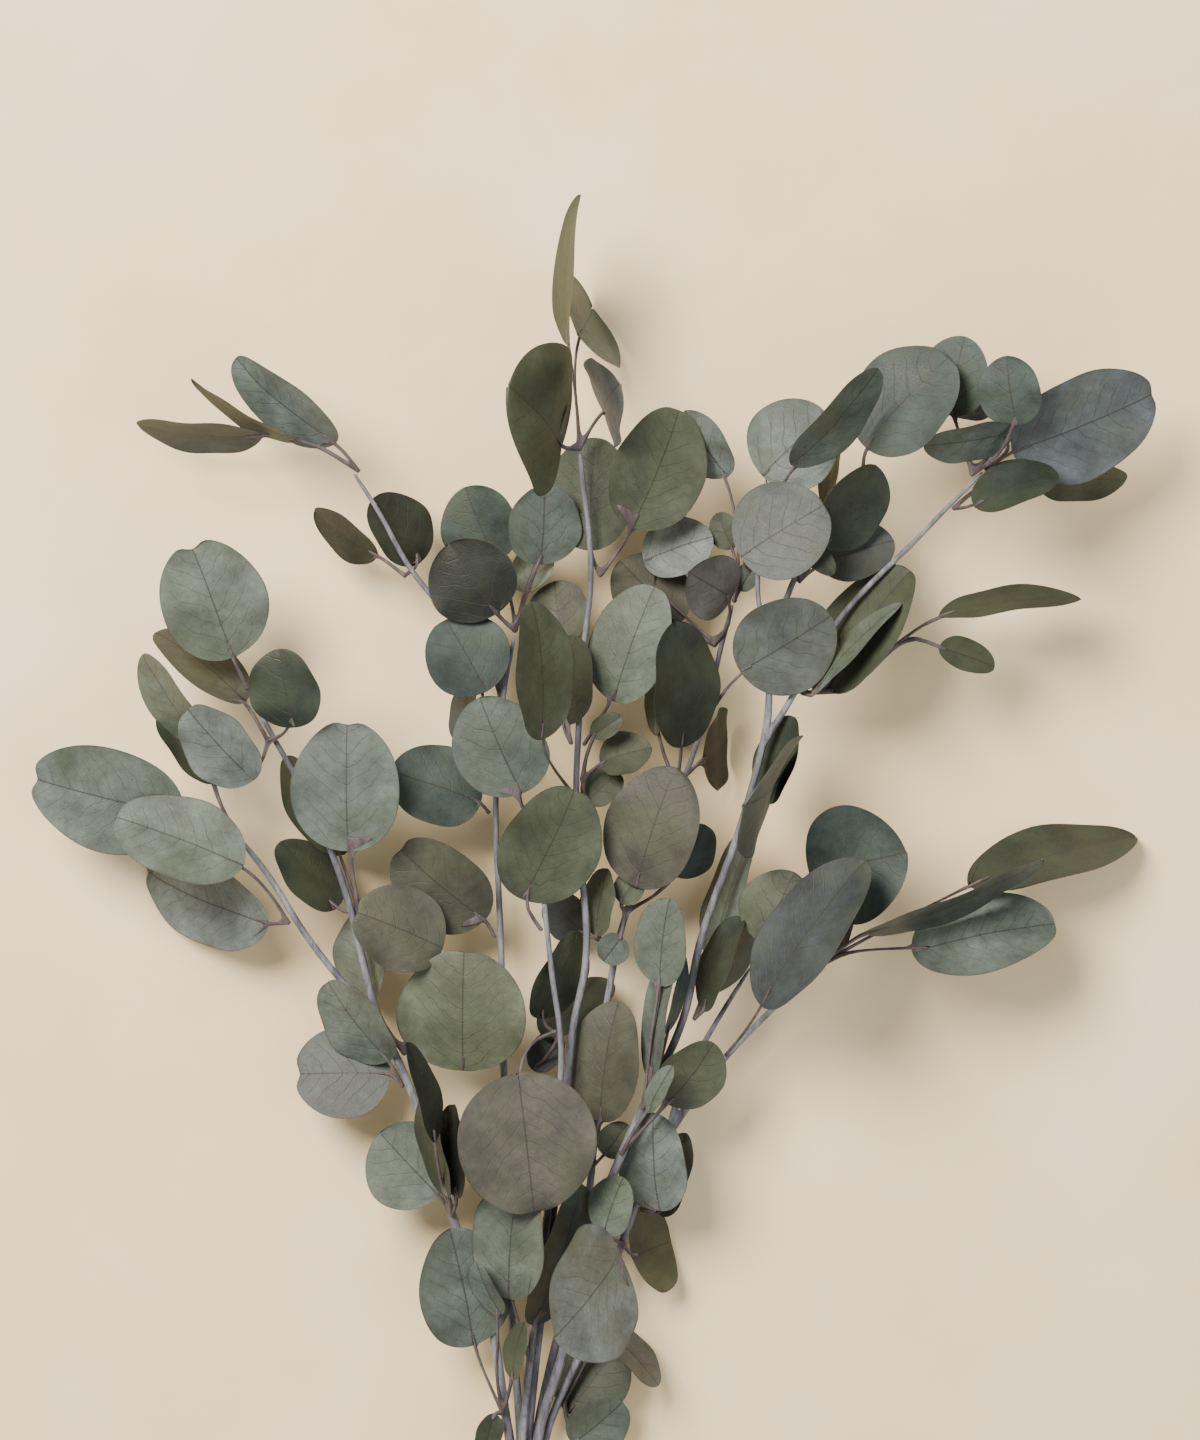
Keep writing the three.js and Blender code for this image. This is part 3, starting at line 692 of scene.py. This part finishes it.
def blade_from(one, two):
    """Place and size of the blade between two patches, by the symmetry of its rim."""
    rim = [
        vertex.co.copy()
        for vertex in {vertex for face in one["faces"] for vertex in face.verts}
        if any(face in two["faces"] for face in vertex.link_faces)
    ]
    normal = (one["normal"] - two["normal"]).normalized()
    ahead = normal.orthogonal().normalized()
    best = None
    for turn in range(AXIS_TURNS):
        axis = Quaternion(normal, math.pi * turn / AXIS_TURNS) @ ahead
        sections = rim_sections(rim, axis, normal)
        error = sum(section[0] for section in sections)
        fewer = len(STATIONS) - (len(sections) if error < PAIR_ERROR else 0)
        if fewer < 2 and (best is None or (fewer, error) < best[:2]):
            best = (fewer, error, axis, sections)
    if best is None:
        return None
    sections = [(middle, spread) for _, middle, spread in best[3]]
    crest, width = max(sections, key=lambda section: section[1])
    # A blade is broader in its lower half, so a section's spread tells its place.
    placed = [
        (min(STATIONS, key=lambda share: abs(STATIONS[share] - spread / width)), middle, spread)
        for middle, spread in sections
    ]
    placed.sort(key=lambda section: section[0])
    (low_share, near, low_spread), (high_share, far, _) = placed[0], placed[-1]
    if low_share == high_share:
        return None
    forward = (far - near).normalized()
    length = (far - near).length / (high_share - low_share)
    rise = crest - near - forward * (crest - near).dot(forward)
    side = one["normal"] if one["normal"].dot(rise) > 0 else two["normal"]
    front = (side - forward * side.dot(forward)).normalized()
    right = forward.cross(front)
    sag = arch_height(low_share) * length + CUP * low_spread / 2
    base = near - forward * low_share * length - front * sag
    return {
        "faces": one["faces"] | two["faces"],
        "base": base,
        "tip": base + forward * length,
        "forward": forward,
        "front": front,
        "right": right,
        "length": length,
        "width": width,
        "centre": (near + far) / 2,
    }


def arch_height(share):
    """Height of a blade's midrib over the line from base to tip, as a share of its length."""
    return 4 * share * (1 - share) * ARCH


# ---- Leaves ---------------------------------------------------------------------------------


def smooth_step(low, high, value):
    share = min(1, max(0, (value - low) / (high - low)))
    return share * share * (3 - 2 * share)


def leaf_point(blade, shape, share, across):
    """A point of a leaf's middle surface: share runs from base to tip, across from rim to rim."""
    narrow = blade["width"] < SLENDER * blade["length"]
    power = POINTED_END if narrow else ROUND_END
    outline = (4 * share * (1 - share)) ** power * (1 + EGG * (0.5 - share))
    lean = 1 + shape["lean"] * across * (share - 0.5)
    half = max(LEAST_HALF, blade["width"] / 2 * outline * lean)
    lateral = across * half
    nick = shape["nick"] * math.exp(-((lateral / NICK_REACH) ** 2)) * smooth_step(0.85, 1, share)
    along = share * blade["length"] - nick
    edge = across * across
    turn = 2 * math.pi * (shape["waves"] * share + shape["phase"])
    wave = RIM_WAVE * blade["width"] * edge * math.sin(turn + (1.1 if across > 0 else 0))
    cup = CUP * half * edge
    groove = -GROOVE_DEPTH * math.exp(-((lateral / GROOVE_REACH) ** 2))
    curl = shape["curl"] * blade["length"] * smooth_step(0.6, 1, share) ** 2
    spot = Vector((lateral * QUILT_PITCH + shape["phase"] * 40, along * QUILT_PITCH, 0))
    quilt = QUILT * noise.noise(spot) * min(1, 8 * share)
    height = arch_height(share) * blade["length"] + cup + (wave + quilt) * min(1, 5 * share)
    height += groove + curl
    centre = blade["base"] + blade["forward"] * along + blade["right"] * lateral
    return centre + blade["front"] * height, lateral, along


def add_leaf(mesh, layers, blade, shape, tone):
    """One leaf as a closed sheet, thinning to its rim.

    Its corners carry "blade" for the veins (mm across, mm along, nearness to the rim) and "tone".
    """
    grids = []
    for side in (1, -1):
        grid = []
        for row in range(ROWS + 1):
            share = (1 - math.cos(math.pi * row / ROWS)) / 2
            line = []
            for column in range(COLUMNS + 1):
                across = math.sin(math.pi / 2 * (2 * column / COLUMNS - 1))
                point, lateral, along = leaf_point(blade, shape, share, across)
                thick = SHEET * (1 - RIM_THINNING * across * across) / 2
                corner = mesh.verts.new(point + blade["front"] * thick * side)
                to_rim = max(abs(across), abs(2 * share - 1) ** 6)
                corner[layers["blade"]] = (lateral / MM, along / MM, to_rim)
                corner[layers["tone"]] = tone
                line.append(corner)
            grid.append(line)
        grids.append(grid)
    front, back = grids
    for row in range(ROWS):
        for column in range(COLUMNS):
            corners = [(row, column), (row, column + 1), (row + 1, column + 1), (row + 1, column)]
            mesh.faces.new([front[r][c] for r, c in corners])
            mesh.faces.new([back[r][c] for r, c in reversed(corners)])
    rim = [(0, c) for c in range(COLUMNS)] + [(r, COLUMNS) for r in range(ROWS)]
    rim += [(ROWS, c) for c in range(COLUMNS, 0, -1)] + [(r, 0) for r in range(ROWS, 0, -1)]
    for (r0, c0), (r1, c1) in zip(rim, rim[1:] + rim[:1]):
        mesh.faces.new([front[r1][c1], front[r0][c0], back[r0][c0], back[r1][c1]])


def signed_volume(shell):
    """The volume within a shell of faces, negative where it is inside out."""
    cones = (face.calc_center_median().dot(face.normal) * face.calc_area() for face in shell)
    return sum(cones) / 3


def rounded_copy(mesh, name, swell):
    """The mesh closed, turned outwards, and its facets smoothed to round wood."""
    holes = [edge for edge in mesh.edges if len(edge.link_faces) < 2]
    bmesh.ops.holes_fill(mesh, edges=holes, sides=0)
    bmesh.ops.triangulate(mesh, faces=[face for face in mesh.faces if len(face.verts) > 4])
    bmesh.ops.join_triangles(
        mesh, faces=mesh.faces[:], angle_face_threshold=0.9, angle_shape_threshold=1.2
    )
    still_open = [edge for edge in mesh.edges if len(edge.link_faces) == 1]
    bmesh.ops.triangle_fill(mesh, use_beauty=True, use_dissolve=False, edges=still_open)
    bmesh.ops.recalc_face_normals(mesh, faces=mesh.faces[:])
    for shell in regions(mesh, is_seam_of_two):
        if signed_volume(shell) < 0:
            bmesh.ops.reverse_faces(mesh, faces=shell)
    mesh.normal_update()
    for vertex in mesh.verts:
        vertex.co += vertex.normal * swell
    coarse = bpy.data.objects.new(name, bpy.data.meshes.new(name))
    mesh.to_mesh(coarse.data)
    mesh.free()
    bpy.context.scene.collection.objects.link(coarse)
    smooth = coarse.modifiers.new("round", "SUBSURF")
    smooth.levels = 2
    smooth.render_levels = 2
    evaluated = coarse.evaluated_get(bpy.context.evaluated_depsgraph_get())
    result = bpy.data.meshes.new_from_object(evaluated)
    bpy.data.objects.remove(coarse)
    return result


def clear_of_stalk(point, blade):
    """Whether a corner of a blade lies away from where the stalk runs into it."""
    offset = point - blade["base"]
    share = offset.dot(blade["forward"]) / blade["length"]
    aside = abs(offset.dot(blade["right"]))
    above = abs(offset.dot(blade["front"]))
    between = -BLADE_MARGIN < share < 1 + BLADE_MARGIN
    within = between and above < BLADE_BULGE * blade["length"]
    return within and (aside > STALK_BERTH or share > STALK_REACH)


def stalk_mesh(mesh, blades, name):
    """What is left of a sprig without its blades: the twig and the leaf stalks."""
    covered = set()
    for blade in blades:
        corners = {vertex for face in blade["faces"] for vertex in face.verts}
        away = {vertex for vertex in corners if clear_of_stalk(vertex.co, blade)}
        touching = {face for vertex in away for face in vertex.link_faces}
        covered |= {face for face in touching if corners.issuperset(face.verts)}
    bmesh.ops.delete(mesh, geom=list(covered), context="FACES")
    crumbs = []
    for shell in regions(mesh, lambda edge: True):
        corners = [vertex.co for face in shell for vertex in face.verts]
        at_a_tip = any(
            all((corner - blade["tip"]).length < TIP_REACH * blade["length"] for corner in corners)
            for blade in blades
        )
        if at_a_tip or sum(face.calc_area() for face in shell) < CRUMB:
            crumbs += shell
    bmesh.ops.delete(mesh, geom=crumbs, context="FACES")
    return rounded_copy(mesh, name, STALK_SWELL)


def hand_over(name, mesh, finishes):
    """Makes the mesh a piece that stands for the CAD node of this name."""
    for finish in finishes:
        mesh.materials.append(finish)
    piece = bpy.data.objects.new("look_" + name, mesh)
    bpy.context.scene.collection.objects.link(piece)
    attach(piece, "root")
    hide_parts(name)


def build_sprig(name, node):
    mesh = merged_copy(node)
    tones = LEAF_TONES[name]
    blades = find_blades(mesh, len(tones))
    stalks = stalk_mesh(mesh, blades, name + "_stalks")
    piece = bmesh.new()
    piece.verts.layers.float_vector.new("blade")
    piece.verts.layers.float_color.new("tone")
    piece.from_mesh(stalks)
    bpy.data.meshes.remove(stalks)
    for face in piece.faces:
        face.material_index = 1  # the stalks' finish
    layers = {
        "blade": piece.verts.layers.float_vector["blade"],
        "tone": piece.verts.layers.float_color["tone"],
    }
    pick = random.Random(name)
    for place, blade in enumerate(blades):
        shape = {
            "phase": pick.random(),
            "waves": pick.uniform(1.2, 2.2),
            "lean": pick.uniform(-0.12, 0.12),
            "curl": pick.uniform(-0.012, 0.02),
            "nick": NICKED_TIPS.get((name, place), pick.choice([0, 0, 0.8])) * MM,
        }
        shade = pick.uniform(0.94, 1.06)
        base = colour(TONES[tones[place]])
        tone = (base[0] * shade, base[1] * shade, base[2] * shade, 1)
        add_leaf(piece, layers, blade, shape, tone)
    for face in piece.faces:
        face.smooth = True
    looks = bpy.data.meshes.new("look_" + name)
    piece.to_mesh(looks)
    piece.free()
    hand_over(name, looks, (LEAF, STALK))


# ---- Stems ----------------------------------------------------------------------------------


def build_stem(name, node):
    """Round wood with a crisp cut at its lower end."""
    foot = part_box(name)[0][1]
    mesh = merged_copy(node)
    bmesh.ops.dissolve_limit(mesh, angle_limit=0.01, verts=mesh.verts[:], edges=mesh.edges[:])
    crease = mesh.edges.layers.float.new("crease_edge")
    for face in mesh.faces:
        if face.normal.y < -0.9 and all(corner.co.y < foot + 2 * MM for corner in face.verts):
            for edge in face.edges:
                edge[crease] = 1
    looks = rounded_copy(mesh, name + "_round", STEM_SWELL)
    looks.name = "look_" + name
    for face in looks.polygons:
        cut = face.normal.y < -0.95 and face.center.y < foot + 0.6 * MM
        face.use_smooth = not cut
        if cut:
            face.material_index = 1
    hand_over(name, looks, (BARK, CUT_WOOD))


# ---- Tie ------------------------------------------------------------------------------------


def twine_tree():
    """Geometry Nodes: three plies twisted round a path, one lay in 5 mm."""
    tree = bpy.data.node_groups.new("twisted_twine", "GeometryNodeTree")
    tree.interface.new_socket("Geometry", in_out="INPUT", socket_type="NodeSocketGeometry")
    for label, value in (("Ply Radius", 0.44 * MM), ("Ply Offset", 0.42 * MM), ("Lay", 5 * MM)):
        socket = tree.interface.new_socket(label, in_out="INPUT", socket_type="NodeSocketFloat")
        socket.default_value = value
    tree.interface.new_socket("Fibre", in_out="INPUT", socket_type="NodeSocketMaterial")
    tree.interface.new_socket("Geometry", in_out="OUTPUT", socket_type="NodeSocketGeometry")
    given = add(tree, "NodeGroupInput").outputs
    path = add(tree, "GeometryNodeMeshToCurve", {"Mesh": given["Geometry"]}).outputs["Curve"]
    even = add(
        tree, "GeometryNodeResampleCurve", {"Curve": path, "Length": 0.7 * MM}, mode="LENGTH"
    )
    run = add(tree, "GeometryNodeSplineParameter").outputs["Length"]
    turns = add(tree, "ShaderNodeMath", {0: run, 1: given["Lay"]}, operation="DIVIDE").outputs[0]
    angle = add(tree, "ShaderNodeMath", {0: turns, 1: math.tau}, operation="MULTIPLY").outputs[0]
    normal = add(tree, "GeometryNodeInputNormal").outputs["Normal"]
    tangent = add(tree, "GeometryNodeInputTangent").outputs["Tangent"]
    ring = add(
        tree,
        "GeometryNodeCurvePrimitiveCircle",
        {"Resolution": 6, "Radius": given["Ply Radius"]},
    )
    joined = add(tree, "GeometryNodeJoinGeometry")
    for ply in range(3):
        place = add(
            tree, "ShaderNodeMath", {0: angle, 1: math.tau * ply / 3}, operation="ADD"
        ).outputs[0]
        out = add(
            tree,
            "ShaderNodeVectorRotate",
            {"Vector": normal, "Axis": tangent, "Angle": place},
            rotation_type="AXIS_ANGLE",
        ).outputs["Vector"]
        step = add(
            tree, "ShaderNodeVectorMath", {0: out, "Scale": given["Ply Offset"]}, operation="SCALE"
        ).outputs["Vector"]
        moved = add(
            tree, "GeometryNodeSetPosition", {"Geometry": even.outputs["Curve"], "Offset": step}
        ).outputs["Geometry"]
        strand = add(
            tree,
            "GeometryNodeCurveToMesh",
            {"Curve": moved, "Profile Curve": ring.outputs["Curve"], "Fill Caps": True},
        ).outputs["Mesh"]
        tree.links.new(strand, joined.inputs["Geometry"])
    real = add(tree, "GeometryNodeRealizeInstances", {"Geometry": joined.outputs["Geometry"]})
    painted = add(
        tree,
        "GeometryNodeSetMaterial",
        {"Geometry": real.outputs["Geometry"], "Material": given["Fibre"]},
    )
    add(tree, "NodeGroupOutput", {"Geometry": painted.outputs["Geometry"]})
    return tree


# The knot on top: its two strands, in mm from the top of the winding.
FIRST_STRAND = [
    (0, 5, 1.5), (1.5, 2, 2.4), (1.8, -1.5, 2.6), (-0.6, -2.2, 2.9), (-1.9, 0.5, 3.1),
    (0, 2.1, 3.3), (2, 0.4, 3.2), (6, -1.5, 2.6), (10.5, -5.5, 1.4), (14, -11, -0.6),
    (16, -17, -3.4),
]
SECOND_STRAND = [
    (0, -5, 1.4), (-1.6, -2, 2.3), (-1.5, 1.6, 2.8), (0.8, 2, 3.2), (1.6, -0.4, 3.5),
    (-0.6, -1.6, 3.6), (-3, 0.2, 3.4), (-7.5, -3, 2.2), (-11, -8.5, 0.4), (-13.5, -14, -2.6),
]


def twine_paths(low, high):
    """The winding round the stems, which runs on into the knot, and the knot's other strand."""
    centre = (Vector(low) + Vector(high)) / 2
    radius = (high[0] - low[0]) / 2 - TWINE_RADIUS
    width = high[1] - low[1] - 2 * MM
    steps = TURNS * TURN_STEPS
    winding = []
    for i in range(steps + 1):
        angle = math.pi / 2 + math.tau * i / TURN_STEPS
        out = Vector((radius * math.cos(angle), 0, radius * math.sin(angle)))
        y = centre.y - width / 2 + width * i / steps
        winding.append(Vector((centre.x, y, centre.z)) + out)
    top = Vector((centre.x, centre.y, centre.z + radius))
    first, second = (
        [top + Vector(place) * MM for place in strand] for strand in (FIRST_STRAND, SECOND_STRAND)
    )
    return winding + first, second


def build_tie(name):
    corners = []
    edges = []
    for route in twine_paths(*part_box(name)):
        start = len(corners)
        corners += route
        edges += [(i, i + 1) for i in range(start, len(corners) - 1)]
    mesh = bpy.data.meshes.new(name + "_path")
    mesh.from_pydata(corners, edges, [])
    path = bpy.data.objects.new(name + "_path", mesh)
    bpy.context.scene.collection.objects.link(path)
    tree = twine_tree()
    winding = path.modifiers.new("twine", "NODES")
    winding.node_group = tree
    fibre = next(item for item in tree.interface.items_tree if item.name == "Fibre")
    winding[fibre.identifier] = TWINE
    evaluated = path.evaluated_get(bpy.context.evaluated_depsgraph_get())
    twine = bpy.data.meshes.new_from_object(evaluated)
    bpy.data.objects.remove(path)
    for face in twine.polygons:
        face.use_smooth = True
    hand_over(name, twine, ())


# ---- Building -------------------------------------------------------------------------------

for node_name, node in sorted(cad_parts.items()):
    if node_name.startswith("stem_"):
        build_stem(node_name, node)
    elif node_name in LEAF_TONES:
        build_sprig(node_name, node)
build_tie("twine_tie")


# ---- Floor, light and camera ----------------------------------------------------------------

FLOOR_HALF = 4.0
FLOOR_GAP = 0.1 * MM
VIEW_DISTANCE = 2.54
VIEW_HEIGHT = 0.72
CUT_OFF = 0.1  # length of the tied ends that the camera leaves out
SENSOR_WIDTH = 36  # mm
CROWN_SHIFT = 4.5 * MM  # the crown's middle lies this far right of the box's
MID_HEIGHT = 0.06

floor_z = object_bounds()[0][2] - FLOOR_GAP
floor_mesh = bpy.data.meshes.new("plaster_floor")
floor_mesh.from_pydata(
    [(x * FLOOR_HALF, y * FLOOR_HALF, floor_z) for x, y in ((-1, -1), (1, -1), (1, 1), (-1, 1))],
    [],
    [(0, 1, 2, 3)],
)
floor_mesh.materials.append(plaster_material())
floor = bpy.data.objects.new("plaster_floor", floor_mesh)
bpy.context.scene.collection.objects.link(floor)

# The camera looks straight down at the crown and the neck.
low = Vector(cad_box[0])
view_middle = Vector((CROWN_SHIFT, low.y + CUT_OFF + VIEW_HEIGHT / 2, low.z + MID_HEIGHT))
camera = bpy.data.cameras.new("camera")
camera.sensor_width = SENSOR_WIDTH
camera.lens = SENSOR_WIDTH * VIEW_DISTANCE / VIEW_HEIGHT
camera_object = bpy.data.objects.new("camera", camera)
camera_object.location = view_middle + Vector((0, 0, VIEW_DISTANCE))
bpy.context.scene.collection.objects.link(camera_object)
bpy.context.scene.camera = camera_object


def soft_light(name, place, size, watts, tint):
    """A round lamp at a place from the middle of the view, turned towards it."""
    lamp = bpy.data.lights.new(name, "AREA")
    lamp.shape = "DISK"
    lamp.size = size
    lamp.energy = watts
    lamp.color = colour(tint)[:3]
    lamp_object = bpy.data.objects.new(name, lamp)
    lamp_object.location = view_middle + Vector(place)
    lamp_object.rotation_mode = "QUATERNION"
    lamp_object.rotation_quaternion = Vector(place).to_track_quat("Z", "Y")
    bpy.context.scene.collection.objects.link(lamp_object)


soft_light("key", (-1.0, 1.0, 1.9), 1.3, 126, "#FFF6EA")
soft_light("fill", (1.5, -0.8, 2.2), 2.6, 34, "#FBF8F4")
world = bpy.data.worlds.new("studio")
world.use_nodes = True
background = world.node_tree.nodes["Background"]
background.inputs["Color"].default_value = colour("#F2F0EA")
background.inputs["Strength"].default_value = 0.46
bpy.context.scene.world = world
